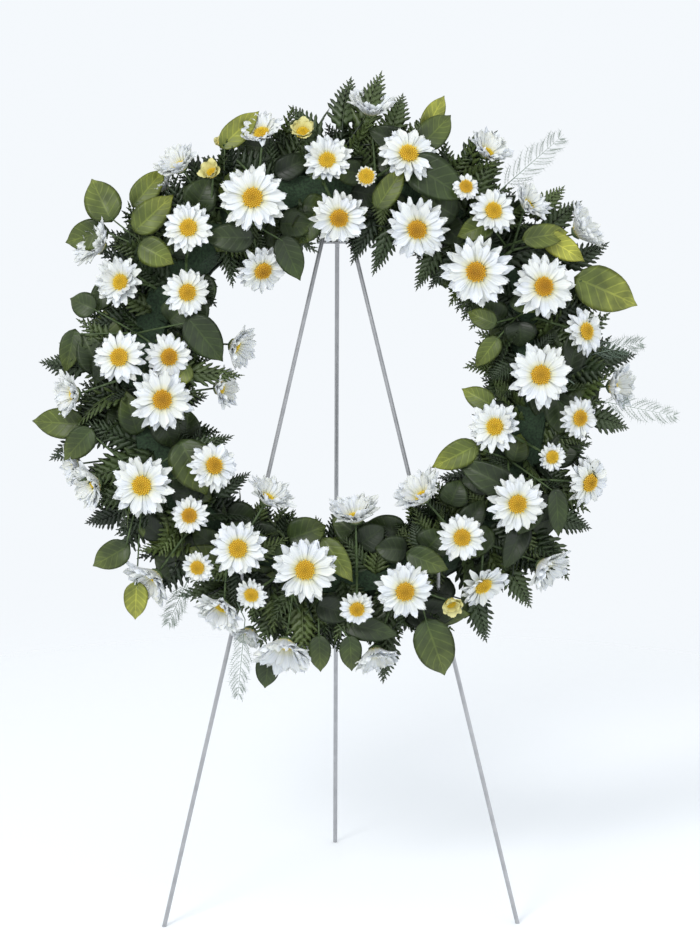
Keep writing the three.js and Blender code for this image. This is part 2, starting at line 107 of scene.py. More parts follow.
def new_material(name, roughness, metallic=0.0):
    """A new material, with its nodes, its links and its Principled shader."""
    material = bpy.data.materials.new(name)
    material.use_nodes = True
    shader = material.node_tree.nodes["Principled BSDF"]
    shader.inputs["Roughness"].default_value = roughness
    shader.inputs["Metallic"].default_value = metallic
    return material, material.node_tree.nodes, material.node_tree.links, shader


FLOOR_HALF = 2.2
floor = mesh_object("floor", [
    (-FLOOR_HALF, -FLOOR_HALF, 0), (FLOOR_HALF, -FLOOR_HALF, 0),
    (FLOOR_HALF, FLOOR_HALF, 0), (-FLOOR_HALF, FLOOR_HALF, 0)], [(0, 1, 2, 3)])
floor_material, nodes, links, shader = new_material("pale_floor", 0.9)
shader.inputs["Base Color"].default_value = (0.93, 0.95, 0.97, 1)
coordinates = nodes.new("ShaderNodeTexCoord")
distance = nodes.new("ShaderNodeVectorMath")
distance.operation = "LENGTH"
fade = nodes.new("ShaderNodeMapRange")
fade.inputs["From Min"].default_value = 0.35
fade.inputs["From Max"].default_value = 1.5
fade.interpolation_type = "SMOOTHSTEP"
see_through = nodes.new("ShaderNodeBsdfTransparent")
blend = nodes.new("ShaderNodeMixShader")
links.new(coordinates.outputs["Object"], distance.inputs[0])
links.new(distance.outputs["Value"], fade.inputs["Value"])
links.new(fade.outputs["Result"], blend.inputs["Fac"])
links.new(shader.outputs["BSDF"], blend.inputs[1])
links.new(see_through.outputs["BSDF"], blend.inputs[2])
links.new(blend.outputs["Shader"], nodes["Material Output"].inputs["Surface"])
floor.data.materials.append(floor_material)

# ---- Wire easel ----
# Legs, brace, pin and hooks are drawn steel wire with a dull zinc coat, welded where they
# meet. The rear leg turns on the pin behind the leg tops.
WIRE_PIECES = ("front_leg_left", "front_leg_right", "cross_brace", "hinge_pin", "top_hook",
               "lower_hook_left", "lower_hook_right", "rear_leg")


def mottle_group():
    """Two colours mixed by soft noise, with the same noise as a height."""
    group = bpy.data.node_groups.new("mottle", "ShaderNodeTree")
    face = group.interface
    face.new_socket(name="Dark", in_out="INPUT", socket_type="NodeSocketColor")
    face.new_socket(name="Light", in_out="INPUT", socket_type="NodeSocketColor")
    face.new_socket(name="Scale", in_out="INPUT", socket_type="NodeSocketFloat")
    face.new_socket(name="Color", in_out="OUTPUT", socket_type="NodeSocketColor")
    face.new_socket(name="Height", in_out="OUTPUT", socket_type="NodeSocketFloat")
    inside = group.nodes.new("NodeGroupInput")
    outside = group.nodes.new("NodeGroupOutput")
    place = group.nodes.new("ShaderNodeTexCoord")
    noise = group.nodes.new("ShaderNodeTexNoise")
    noise.inputs["Detail"].default_value = 5
    steep = group.nodes.new("ShaderNodeMapRange")
    steep.inputs["From Min"].default_value = 0.32
    steep.inputs["From Max"].default_value = 0.68
    mix = group.nodes.new("ShaderNodeMix")
    mix.data_type = "RGBA"
    group.links.new(place.outputs["Object"], noise.inputs["Vector"])
    group.links.new(inside.outputs["Scale"], noise.inputs["Scale"])
    group.links.new(noise.outputs["Fac"], steep.inputs["Value"])
    group.links.new(steep.outputs["Result"], mix.inputs["Factor"])
    group.links.new(inside.outputs["Dark"], mix.inputs["A"])
    group.links.new(inside.outputs["Light"], mix.inputs["B"])
    group.links.new(mix.outputs["Result"], outside.inputs["Color"])
    group.links.new(noise.outputs["Fac"], outside.inputs["Height"])
    return group


MOTTLE = mottle_group()


def add_mottle(nodes, dark, light, scale):
    """The mottle group, placed in a material with its own colours and scale."""
    node = nodes.new("ShaderNodeGroup")
    node.node_tree = MOTTLE
    node.inputs["Dark"].default_value = (*dark, 1)
    node.inputs["Light"].default_value = (*light, 1)
    node.inputs["Scale"].default_value = scale
    return node


def add_bump(nodes, links, height, shader, strength, distance):
    """Fine relief on a material, its depth in metres."""
    bump = nodes.new("ShaderNodeBump")
    bump.inputs["Strength"].default_value = strength
    bump.inputs["Distance"].default_value = distance
    links.new(height, bump.inputs["Height"])
    links.new(bump.outputs["Normal"], shader.inputs["Normal"])


zinc, nodes, links, shader = new_material("dull_zinc_wire", 0.38, 0.6)
coat = add_mottle(nodes, (0.36, 0.365, 0.38), (0.44, 0.445, 0.46), 90)
links.new(coat.outputs["Color"], shader.inputs["Base Color"])
add_bump(nodes, links, coat.outputs["Height"], shader, 0.15, 0.0003)


def refinish(node, material):
    """Gives a piece that is carried over from the frame its own finish."""
    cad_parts[node].data.materials.clear()
    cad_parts[node].data.materials.append(material)


for piece in WIRE_PIECES:
    refinish(piece, zinc)

# ---- Tray and foam ring ----
# The tray is moulded dark green plastic. The foam is a ring of open-cell floral foam glued
# into it, soaked, and bored by every stem.
tray_plastic, nodes, links, shader = new_material("moulded_green_plastic", 0.5)
skin = add_mottle(nodes, (0.012, 0.025, 0.012), (0.02, 0.04, 0.02), 35)
links.new(skin.outputs["Color"], shader.inputs["Base Color"])
add_bump(nodes, links, skin.outputs["Height"], shader, 0.1, 0.0005)
refinish("ring_tray", tray_plastic)

wet_foam, nodes, links, shader = new_material("soaked_floral_foam", 0.85)
cells = add_mottle(nodes, (0.008, 0.02, 0.008), (0.03, 0.065, 0.028), 420)
links.new(cells.outputs["Color"], shader.inputs["Base Color"])
add_bump(nodes, links, cells.outputs["Height"], shader, 0.9, 0.001)
refinish("foam_ring", wet_foam)

# ---- Setting out round the ring ----
# Every stem is placed by the clock, as a florist does it: degrees round the ring from the
# top, reach from the ring's centre, and rise in front of the foam's centreline.
RING_RADIUS = 0.224
MM = 0.001


def on_clock(clock, reach, rise):
    """A place round the ring: degrees from the top, then reach and rise in millimetres."""
    turn = math.radians(clock)
    across = RIGHT * math.sin(turn) + UP * math.cos(turn)
    return ring_centre + across * reach * MM + FORWARD * rise * MM


def outward(clock):
    """The direction straight out from the ring's centre."""
    return (on_clock(clock, 1, 0) - ring_centre).normalized()


def facing_of(clock, tilt, swing):
    """Which way a head looks: tilted outward and swung clockwise, in degrees."""
    tilt = math.radians(tilt)
    direction = FORWARD * math.cos(tilt) + outward(clock) * math.sin(tilt)
    return (direction + outward(clock + 90) * math.tan(math.radians(swing))).normalized()


def setting_tree():
    """Sets one shape on every spot, turned by the spot's own axes, with a tone of its own."""
    tree = bpy.data.node_groups.new("set_on_spots", "GeometryNodeTree")
    face = tree.interface
    face.new_socket(name="Spots", in_out="INPUT", socket_type="NodeSocketGeometry")
    face.new_socket(name="Shape", in_out="INPUT", socket_type="NodeSocketObject")
    face.new_socket(name="Size", in_out="INPUT", socket_type="NodeSocketFloat")
    face.new_socket(name="Seed", in_out="INPUT", socket_type="NodeSocketInt")
    face.new_socket(name="Finish", in_out="INPUT", socket_type="NodeSocketMaterial")
    face.new_socket(name="Geometry", in_out="OUTPUT", socket_type="NodeSocketGeometry")
    inside = tree.nodes.new("NodeGroupInput")
    outside = tree.nodes.new("NodeGroupOutput")

    def spot_axis(name):
        node = tree.nodes.new("GeometryNodeInputNamedAttribute")
        node.data_type = "FLOAT_VECTOR"
        node.inputs["Name"].default_value = name
        return node.outputs["Attribute"]

    turn = tree.nodes.new("FunctionNodeAxesToRotation")
    turn.primary_axis = "Y"
    turn.secondary_axis = "Z"
    scale = tree.nodes.new("ShaderNodeVectorMath")
    scale.operation = "SCALE"
    info = tree.nodes.new("GeometryNodeObjectInfo")
    place = tree.nodes.new("GeometryNodeInstanceOnPoints")
    chance = tree.nodes.new("FunctionNodeRandomValue")
    tone = tree.nodes.new("GeometryNodeStoreNamedAttribute")
    tone.domain = "INSTANCE"
    tone.inputs["Name"].default_value = "chance"
    solid = tree.nodes.new("GeometryNodeRealizeInstances")
    finish = tree.nodes.new("GeometryNodeSetMaterial")
    tree.links.new(spot_axis("along"), turn.inputs["Primary Axis"])
    tree.links.new(spot_axis("face"), turn.inputs["Secondary Axis"])
    tree.links.new(spot_axis("stretch"), scale.inputs[0])
    tree.links.new(inside.outputs["Size"], scale.inputs["Scale"])
    tree.links.new(inside.outputs["Shape"], info.inputs["Object"])
    tree.links.new(inside.outputs["Spots"], place.inputs["Points"])
    tree.links.new(info.outputs["Geometry"], place.inputs["Instance"])
    tree.links.new(turn.outputs["Rotation"], place.inputs["Rotation"])
    tree.links.new(scale.outputs["Vector"], place.inputs["Scale"])
    tree.links.new(place.outputs["Instances"], tone.inputs["Geometry"])
    tree.links.new(inside.outputs["Seed"], chance.inputs["Seed"])
    tree.links.new(chance.outputs["Value"], tone.inputs["Value"])
    tree.links.new(tone.outputs["Geometry"], solid.inputs["Geometry"])
    tree.links.new(solid.outputs["Geometry"], finish.inputs["Geometry"])
    tree.links.new(inside.outputs["Finish"], finish.inputs["Material"])
    tree.links.new(finish.outputs["Geometry"], outside.inputs["Geometry"])
    return tree


SETTING = setting_tree()


def set_attribute(mesh, name, kind, values):
    """Stores one value or vector for each vertex."""
    attribute = mesh.attributes.new(name, kind, "POINT")
    field = "vector" if kind == "FLOAT_VECTOR" else "value"
    attribute.data.foreach_set(field, np.array(values, dtype=np.float32).ravel())


def set_on_spots(name, spots, shape, size, seed, finish, extra=()):
    """One mesh with the shape set on each spot: (place, along, face, stretch, *extra values)."""
    points = mesh_object(name, [spot[0] for spot in spots], [])
    keys = [("along", "FLOAT_VECTOR"), ("face", "FLOAT_VECTOR"), ("stretch", "FLOAT_VECTOR")]
    keys.extend((key, "FLOAT") for key in extra)
    for column, (key, kind) in enumerate(keys, start=1):
        set_attribute(points.data, key, kind, [spot[column] for spot in spots])
    modifier = points.modifiers.new("setting", "NODES")
    modifier.node_group = SETTING
    values = {"Shape": shape, "Size": size, "Seed": seed, "Finish": finish}
    for item in SETTING.interface.items_tree:
        if item.item_type == "SOCKET" and item.in_out == "INPUT" and item.name in values:
            modifier[item.identifier] = values[item.name]
    points.update_tag()
    bpy.context.view_layer.update()
    evaluated = points.evaluated_get(bpy.context.evaluated_depsgraph_get())
    solid = bpy.data.meshes.new_from_object(evaluated)
    points.modifiers.clear()
    points.data = solid
    return points


def gathered(name, parts):
    """The parts joined in one object with one mesh."""
    with bpy.context.temp_override(active_object=parts[0], object=parts[0],
                                   selected_objects=parts, selected_editable_objects=parts):
        bpy.ops.object.join()
    parts[0].name = name
    parts[0].data.name = name
    return parts[0]


def tube(path, radii, sides=6):
    """Vertices and faces of a closed tube along the points of a path."""
    vertices, faces = [], []
    side = Vector((0.31, 0.87, 0.38))
    for index, (point, radius) in enumerate(zip(path, radii)):
        ahead = path[min(index + 1, len(path) - 1)] - path[max(index - 1, 0)]
        first = ahead.cross(side).normalized()
        second = ahead.cross(first).normalized()
        for corner in range(sides):
            turn = 2 * math.pi * corner / sides
            vertices.append(point + (first * math.cos(turn) + second * math.sin(turn)) * radius)
    for ring in range(len(path) - 1):
        a, b = ring * sides, (ring + 1) * sides
        for corner in range(sides):
            after = (corner + 1) % sides
            faces.append((a + corner, a + after, b + after, b + corner))
    faces.append(tuple(reversed(range(sides))))
    last = (len(path) - 1) * sides
    faces.append(tuple(range(last, last + sides)))
    return vertices, faces


def curve_points(start, middle, end, steps):
    """Points along a bow from start to end, drawn towards the middle point."""
    return [start * (1 - t) ** 2 + middle * 2 * t * (1 - t) + end * t * t
            for t in (step / steps for step in range(steps + 1))]


def merged_mesh(name, solids, finish):
    """Several (vertices, faces) solids in one mesh with one finish."""
    vertices, faces = [], []
    for more_vertices, more_faces in solids:
        start = len(vertices)
        vertices.extend(more_vertices)
        faces.extend(tuple(start + corner for corner in face) for face in more_faces)
    made = mesh_object(name, vertices, faces)
    made.data.materials.append(finish)
    return made


# ---- Daisies ----
# Spray chrysanthemums with two rows of white ray petals round a disc of tiny florets, two or
# three heads to a forked green stem that is pushed into the foam.
# Each head: clock, reach, size, rise, tilt outward, swing clockwise, age of the disc 0 to 1.
SPRAYS = (
    ((357, 251, 57, 75, 15, 0, 0.15), (0, 186, 66, 72, -22, 0, 0.8), (352, 286, 28, 52, 35, 0, 0)),
    ((7.5, 234, 23, 80, 5, 0, 0.1), (17, 270, 71, 68, 32, 0, 0.35), (7, 310, 56, 28, 62, 0, 0.03)),
    ((27, 194, 74, 74, -25, 0, 0.85), (33, 263, 33, 72, 20, 0, 0.5), (33, 310, 54, 30, 55, 0, 0.03)),
    ((42, 260, 56, 74, 20, 0, 0.35), (51, 198, 82, 84, -20, 0, 0.9)),
    ((47, 292, 50, 45, 55, 0, 0.03), (58, 323, 58, 15, 68, 0, 0.03)),
    ((65, 254, 75, 76, 15, 0, 0.9), (78.5, 286, 58, 50, 42, 0, 0.5)),
    ((88, 226, 75, 84, 3, 0, 0.6), (98.6, 275, 50, 58, 30, 0, 0.6), (91, 312, 55, 20, 62, 0, 0.03)),
    ((106, 182, 60, 72, -18, 0, 0.2), (109.5, 254, 34, 66, 20, 0, 0.2)),
    ((112, 307, 62, 34, 42, 0, 0.6), (124.6, 242, 67, 80, 10, 0, 0.45)),
    ((142, 222, 57, 78, 0, 0, 0.45), (144, 161, 60, 46, -56, 0, 0.03)),
    ((145, 282, 62, 50, 50, 0, 0.3), (132, 311, 57, 24, 60, 0, 0.03)),
    ((163, 246, 69, 80, 12, 0, 0.6), (153.5, 279, 24, 56, 40, 0, 0), (172.6, 308, 54, 26, 66, 0, 0.03)),
    ((173.6, 155, 60, 42, -60, 0, 0.03), (176, 256, 42, 70, 20, 0, 0.5)),
    ((191, 214, 76, 84, 0, 0, 0.4), (203, 259, 38, 68, 22, 0, 0.3)),
    ((192, 302, 68, 38, 58, 0, 0.03), (200, 301, 42, 14, 70, 0, 0.03), (186.5, 299, 46, 12, 70, 0, 0.03)),
    ((212, 219, 66, 80, 0, 0, 0.35), (212, 156, 56, 40, -58, 0, 0.03)),
    ((218, 263, 38, 66, 22, 0, 0.4), (208, 285, 56, 44, 52, 0, 0.03)),
    ((229, 226, 44, 72, 5, 0, 0.8), (224, 303, 60, 30, 62, 0, 0.03)),
    ((243, 251, 74, 80, 12, 0, 0.35), (237, 170, 60, 70, -28, 0, 0.7)),
    ((248, 299, 55, 36, 60, 0, 0.03), (253, 313, 45, 12, 70, 0, 0.03)),
    ((265, 201, 74, 84, -12, 0, 0.85), (268, 137, 48, 22, -60, 0, 0.03)),
    ((277, 250, 63, 76, 14, 0, 0.4), (268, 300, 52, 34, 60, 0, 0.03)),
    ((279, 195, 56, 68, -12, 0, 0.85), (290, 127, 51, 22, -60, 0, 0.03)),
    ((295, 272, 58, 60, 25, 0, 0.1), (300, 312, 57, 26, 60, 0, 0.03)),
    ((316, 244, 60, 76, 12, 0, 0.3), (301, 200, 56, 74, -15, 0, 0.5)),
    ((335, 230, 80, 86, 3, 0, 0.5), (326, 154, 62, 44, -38, 0, 0.8)),
    ((324, 303, 52, 44, 56, 0, 0.03), (318, 298, 42, 16, 70, 0, 0.03), (329, 277, 24, 62, 38, 0, 0)),
    ((343, 296, 52, 42, 45, 0, 0.1), (334, 303, 14, 34, 50, 0, 0)),
)
PETAL_ACROSS = 6
PETAL_ALONG = 7
FLORETS = 90
GOLDEN_ANGLE = math.radians(137.5)
# Petal rows, the outer one first: count, share of the full length, lift in degrees. In a bud the
# lift is the petals' own, and in an open head it is added to the head's.
BUD_ROWS = ((7, 1.0, 62), (5, 0.8, 76))
OPEN_ROWS = ((17, 1.0, 0), (14, 0.86, 11))
# Turned profiles, in shares of the disc's radius: across and up.
CALYX_PROFILE = ((0, -0.75), (0.35, -0.7), (0.85, -0.35), (0.7, -0.12), (0, -0.1))
DOME_PROFILE = ((0, -0.15), (0.75, -0.1), (0.96, 0.03), (0.85, 0.16), (0.5, 0.32), (0, 0.36))
DAISY_STEM = 1.7 * MM
DAISY_FORK_RISE = 40
random.seed(20)


def petal_shape(name, arch, hollow, twist):
    """A ray petal one unit long and one wide: three blunt teeth, two channels, thin edges."""
    top, under = [], []
    for row in range(PETAL_ALONG + 1):
        v = row / PETAL_ALONG
        half = 0.5 * min(1.0, 0.42 + 0.95 * v) * (1 - 0.46 * max(0.0, (v - 0.7) / 0.3) ** 2)
        for column in range(PETAL_ACROSS + 1):
            u = 2 * column / PETAL_ACROSS - 1
            tooth = 0.06 * (1 - math.cos(3 * math.pi * u)) / 2 + 0.13 * u * u
            y = v * (1 - tooth * v ** 3)
            z = arch * v * (1 - v) - hollow * v * v
            z += 0.035 * math.cos(2 * math.pi * u) * min(1, 2 * v)
            z += 0.06 * u * u + twist * u * v
            edge = row in (0, PETAL_ALONG) or column in (0, PETAL_ACROSS)
            top.append((u * half, y, z))
            under.append(None if edge else (u * half, y, z - 0.022))
    petal = shell(name, top, under, PETAL_ALONG, PETAL_ACROSS)
    rim = {index for index, point in enumerate(under) if point is None}
    for edge in petal.data.edges:
        edge.use_edge_sharp = rim.issuperset(edge.vertices)
    return petal


def shell(name, top, under, rows, columns):
    """A thin closed skin: an upper and a lower grid that share their rim."""
    vertices = list(top)
    lower = list(range(len(top)))
    for index, point in enumerate(under):
        if point is not None:
            lower[index] = len(vertices)
            vertices.append(point)
    faces = []
    for row in range(rows):
        for column in range(columns):
            a = row * (columns + 1) + column
            corners = (a, a + 1, a + columns + 2, a + columns + 1)
            faces.append(corners)
            faces.append(tuple(lower[corner] for corner in reversed(corners)))
    made = mesh_object(name, vertices, faces)
    grid = (rows + 1) * (columns + 1)
    back_to_grid = {lower[index]: index for index in range(grid)}
    places = [back_to_grid.get(index, index) for index in range(len(vertices))]
    run = [(place // (columns + 1)) / rows for place in places]
    across = [2 * (place % (columns + 1)) / columns - 1 for place in places]
    set_attribute(made.data, "run", "FLOAT", run)
    set_attribute(made.data, "across", "FLOAT", across)
    set_attribute(made.data, "under", "FLOAT", [float(index >= grid) for index in range(len(vertices))])
    return made


def take_down(obj):
    """Removes a shape that was only there to be set on spots."""
    bpy.data.objects.remove(obj)


petals = (
    petal_shape("petal_flat", 0.10, 0.04, 0.03),
    petal_shape("petal_hanging", 0.22, 0.16, -0.05),
    petal_shape("petal_raised", 0.02, -0.08, 0.06),
)
floret = mesh_object(
    "floret",
    [(0, 0, -0.5), (0.5, 0, 0.1), (0, 0.5, 0.1), (-0.5, 0, 0.1), (0, -0.5, 0.1), (0, 0, 1)],
    [(0, 2, 1), (0, 3, 2), (0, 4, 3), (0, 1, 4), (5, 1, 2), (5, 2, 3), (5, 3, 4), (5, 4, 1)])


def attribute_node(nodes, name):
    """A value stored on the mesh, read in a material."""
    node = nodes.new("ShaderNodeAttribute")
    node.attribute_type = "GEOMETRY"
    node.attribute_name = name
    return node


def ramp(nodes, links, value, stops):
    """Colours along a value, as (place, colour) stops."""
    node = nodes.new("ShaderNodeValToRGB")
    while len(node.color_ramp.elements) < len(stops):
        node.color_ramp.elements.new(0.5)
    for element, (place, colour) in zip(node.color_ramp.elements, stops):
        element.position = place
        element.color = (*colour, 1)
    links.new(value, node.inputs["Fac"])
    return node


def colour_mix(nodes, links, factor, first, second, blend="MIX"):
    """Two colours mixed or multiplied, each a plain colour or a socket."""
    node = nodes.new("ShaderNodeMix")
    node.data_type = "RGBA"
    node.blend_type = blend
    if isinstance(factor, float):
        node.inputs["Factor"].default_value = factor
    else:
        links.new(factor, node.inputs["Factor"])
    for socket, colour in (("A", first), ("B", second)):
        if isinstance(colour, tuple):
            node.inputs[socket].default_value = (*colour, 1)
        else:
            links.new(colour, node.inputs[socket])
    return node.outputs["Result"]


def calculate(nodes, links, operation, first, second=None):
    """One sum on values, each a plain number or a socket."""
    node = nodes.new("ShaderNodeMath")
    node.operation = operation
    for socket, value in ((0, first), (1, second)):
        if isinstance(value, (int, float)):
            node.inputs[socket].default_value = value
        elif value is not None:
            links.new(value, node.inputs[socket])
    return node.outputs["Value"]


white_petal, nodes, links, shader = new_material("white_petal", 0.55)
shader.inputs["Subsurface Weight"].default_value = 0.12
shader.inputs["Subsurface Radius"].default_value = (0.002, 0.002, 0.0015)
run = attribute_node(nodes, "run").outputs["Fac"]
across = attribute_node(nodes, "across").outputs["Fac"]
chance = attribute_node(nodes, "chance").outputs["Fac"]
# Petal colour: yellow at the foot, which is the petal's own, then blue-grey that lightens towards the
# tip. The blue-grey is painted shade.
foot = ramp(nodes, links, run, (
    (0.0, (0.60, 0.52, 0.16)),
    (0.2, (0.76, 0.76, 0.60)),
    (0.42, (0.76, 0.785, 0.81)),
    (1.0, (0.84, 0.86, 0.885))))
streak = nodes.new("ShaderNodeTexNoise")
streak.inputs["Scale"].default_value = 1.0
streak_place = nodes.new("ShaderNodeCombineXYZ")
links.new(calculate(nodes, links, "MULTIPLY", across, 7.0), streak_place.inputs["X"])
links.new(calculate(nodes, links, "MULTIPLY", run, 1.2), streak_place.inputs["Y"])
links.new(calculate(nodes, links, "MULTIPLY", chance, 50.0), streak_place.inputs["Z"])
links.new(streak_place.outputs["Vector"], streak.inputs["Vector"])
# Darker blue-grey streaks multiplied in along the petal are painted shade in the channels. The same
# streaks also give the fine relief below.
shade = ramp(nodes, links, streak.outputs["Fac"], ((0.34, (0.76, 0.81, 0.87)), (0.6, (1, 1, 1))))
white = colour_mix(nodes, links, 0.6, foot.outputs["Color"], shade.outputs["Color"], "MULTIPLY")
cream = attribute_node(nodes, "cream").outputs["Fac"]
links.new(colour_mix(nodes, links, cream, white, (0.70, 0.66, 0.30)), shader.inputs["Base Color"])
add_bump(nodes, links, streak.outputs["Fac"], shader, 0.3, 0.0006)

yellow_disc, nodes, links, shader = new_material("yellow_disc", 0.7)
rim = attribute_node(nodes, "rim").outputs["Fac"]
age = attribute_node(nodes, "age").outputs["Fac"]
young = ramp(nodes, links, rim, (
    (0.0, (0.62, 0.44, 0.02)),
    (0.45, (0.86, 0.62, 0.03)),
    (1.0, (0.90, 0.70, 0.08))))
old = ramp(nodes, links, rim, (
    (0.0, (0.40, 0.17, 0.01)),
    (0.6, (0.56, 0.26, 0.012)),
    (1.0, (0.86, 0.52, 0.03))))
aged = colour_mix(nodes, links, age, young.outputs["Color"], old.outputs["Color"])
links.new(aged, shader.inputs["Base Color"])

disc_bed, nodes, links, shader = new_material("disc_bed", 0.8)
pollen = add_mottle(nodes, (0.45, 0.24, 0.015), (0.62, 0.40, 0.03), 900)
links.new(pollen.outputs["Color"], shader.inputs["Base Color"])

green_stem, nodes, links, shader = new_material("green_stem", 0.55)
bark = add_mottle(nodes, (0.03, 0.055, 0.014), (0.08, 0.125, 0.04), 160)
links.new(bark.outputs["Color"], shader.inputs["Base Color"])
add_bump(nodes, links, bark.outputs["Height"], shader, 0.2, 0.0004)


def cross_axes(direction):
    """Two directions square to this one and to each other."""
    first = direction.orthogonal().normalized()
    return first, direction.cross(first).normalized()


def head_spots(centre, facing, size, age, shape_count):
    """Where the petals of one head grow, one list of spots for each petal shape.

    A young head is still cupped, an old one lies flat or hangs a little, and a bud is shut."""
    radius = size / 2 * MM
    bud = age == 0
    disc = disc_radius(size, age)
    head_lift = 0 if bud else max(-5, 46 - 132 * age)
    cupped = 1 / math.cos(math.radians(head_lift))
    loose = 0.35 if 0 < age < 0.05 else 1.0
    full_length = radius * (1.7 if bud else 1.06) - 0.72 * disc
    fullness = 1.5 if bud else cupped
    first, second = cross_axes(facing)
    spots = [[] for _ in range(shape_count)]
    for count, share, row_lift in BUD_ROWS if bud else OPEN_ROWS:
        start = random.uniform(0, 2 * math.pi)
        for petal in range(count):
            turn = start + 2 * math.pi * (petal + random.uniform(-0.22, 0.22)) / count
            away = first * math.cos(turn) + second * math.sin(turn)
            raised = math.radians(head_lift + row_lift + loose * random.uniform(-7, 7))
            along = away * math.cos(raised) + facing * math.sin(raised)
            face = facing * math.cos(raised) - away * math.sin(raised)
            face = (face + along.cross(face) * loose * random.uniform(-0.22, 0.22)).normalized()
            length = full_length * share * random.uniform(0.82, 1.03) * cupped
            width = 2 * math.pi * 0.66 * radius / count * random.uniform(0.92, 1.28) * fullness
            place = centre + away * 0.72 * disc - facing * disc * (0.22 if share == 1.0 else 0.12)
            cream = 1.0 if bud else random.uniform(0, 0.18)
            spot = (place, along, face, (width, length, length), cream)
            spots[random.randrange(shape_count)].append(spot)
    return spots


def disc_radius(size, age):
    """The yellow disc grows less than the head does, and in a bud it barely shows."""
    if size < 30:
        return (0.3 if age == 0 else 0.4) * size * MM
    return 10.3 * MM * (size / 66) ** 0.45


def disc_spots(centre, facing, size, age):
    """A golden-angle spiral of florets over a low dome."""
    disc = disc_radius(size, age)
    first, second = cross_axes(facing)
    spots = []
    for index in range(FLORETS):
        share = math.sqrt((index + 0.5) / FLORETS)
        away = first * math.cos(index * GOLDEN_ANGLE) + second * math.sin(index * GOLDEN_ANGLE)
        dome = 0.34 * (1 - share ** 2.4) + 0.05
        place = centre + away * disc * share + facing * disc * dome
        lean = (facing + away * 0.7 * share ** 2).normalized()
        width = disc * random.uniform(0.19, 0.23)
        height = disc * (0.16 + 0.12 * share) * random.uniform(0.9, 1.1)
        spots.append((place, away.cross(lean).normalized(), lean, (width, width, height), share, age))
    return spots


def turned_on(centre, facing, profile, sides):
    """A closed turned solid: profile of (across, up) from the bottom point to the top point."""
    first, second = cross_axes(facing)
    vertices = [centre + facing * profile[0][1]]
    for across, up in profile[1:-1]:
        for corner in range(sides):
            turn = 2 * math.pi * corner / sides
            away = first * math.cos(turn) + second * math.sin(turn)
            vertices.append(centre + away * across + facing * up)
    vertices.append(centre + facing * profile[-1][1])
    faces = []
    for corner in range(sides):
        after = (corner + 1) % sides
        faces.append((0, 1 + after, 1 + corner))
        for ring in range(len(profile) - 3):
            a, b = 1 + ring * sides, 1 + (ring + 1) * sides
            faces.append((a + corner, a + after, b + after, b + corner))
        a = 1 + (len(profile) - 3) * sides
        faces.append((a + corner, a + after, len(vertices) - 1))
    return vertices, faces


def stems_to(feet, shift, fork_rise, radius):
    """The forked stem of one spray or sprig, from inside the foam to each foot."""
    middle = sum(((foot - ring_centre) for foot in feet), Vector()) / len(feet)
    clock = math.degrees(math.atan2(middle.dot(RIGHT), middle.dot(UP)))
    sideways = math.hypot(middle.dot(RIGHT), middle.dot(UP)) - RING_RADIUS
    side = math.copysign(shift, sideways)
    root = on_clock(clock, RING_RADIUS / MM + side, 6)
    fork = on_clock(clock, RING_RADIUS / MM + side + 0.3 * sideways / MM, fork_rise)
    solids = [tube([root, fork], [radius * 1.25, radius * 1.15])]
    for foot in feet:
        bow = fork.lerp(foot, 0.45) + FORWARD * 0.1 * (foot - fork).length
        path = curve_points(fork - FORWARD * radius, bow, foot, 6)
        solids.append(tube(path, [radius * (1 - 0.35 * step / 6) for step in range(7)]))
    return solids


for number, heads in enumerate(SPRAYS, start=1):
    parts, domes, greens, feet = [], [], [], []
    petal_spots = [[] for _ in petals]
    floret_spots = []
    for clock, reach, size, rise, tilt, swing, age in heads:
        centre, facing = on_clock(clock, reach, rise), facing_of(clock, tilt, swing)
        for kept, more in zip(petal_spots, head_spots(centre, facing, size, age, len(petals))):
            kept.extend(more)
        disc = disc_radius(size, age)
        floret_spots.extend(disc_spots(centre, facing, size, age))
        calyx = [(across * disc, up * disc) for across, up in CALYX_PROFILE]
        greens.append(turned_on(centre, facing, calyx, 12))
        dome = [(across * disc, up * disc) for across, up in DOME_PROFILE]
        domes.append(turned_on(centre, facing, dome, 16))
        feet.append(centre - facing * 0.5 * disc)
    for shape, spots in zip(petals, petal_spots):
        if spots:
            parts.append(set_on_spots("petals", spots, shape, 1.0, number, white_petal, ("cream",)))
    parts.append(set_on_spots("florets", floret_spots, floret, 1.0, number, yellow_disc, ("rim", "age")))
    parts.append(merged_mesh("domes", domes, disc_bed))
    greens.extend(stems_to(feet, 0, DAISY_FORK_RISE, DAISY_STEM))
    parts.append(merged_mesh("greens", greens, green_stem))
    spray = gathered(f"daisy_spray_{number:02d}_blooms", parts)
    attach(spray, "front_frame")
    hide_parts(f"daisy_spray_{number:02d}")
for shape in (*petals, floret):
    take_down(shape)
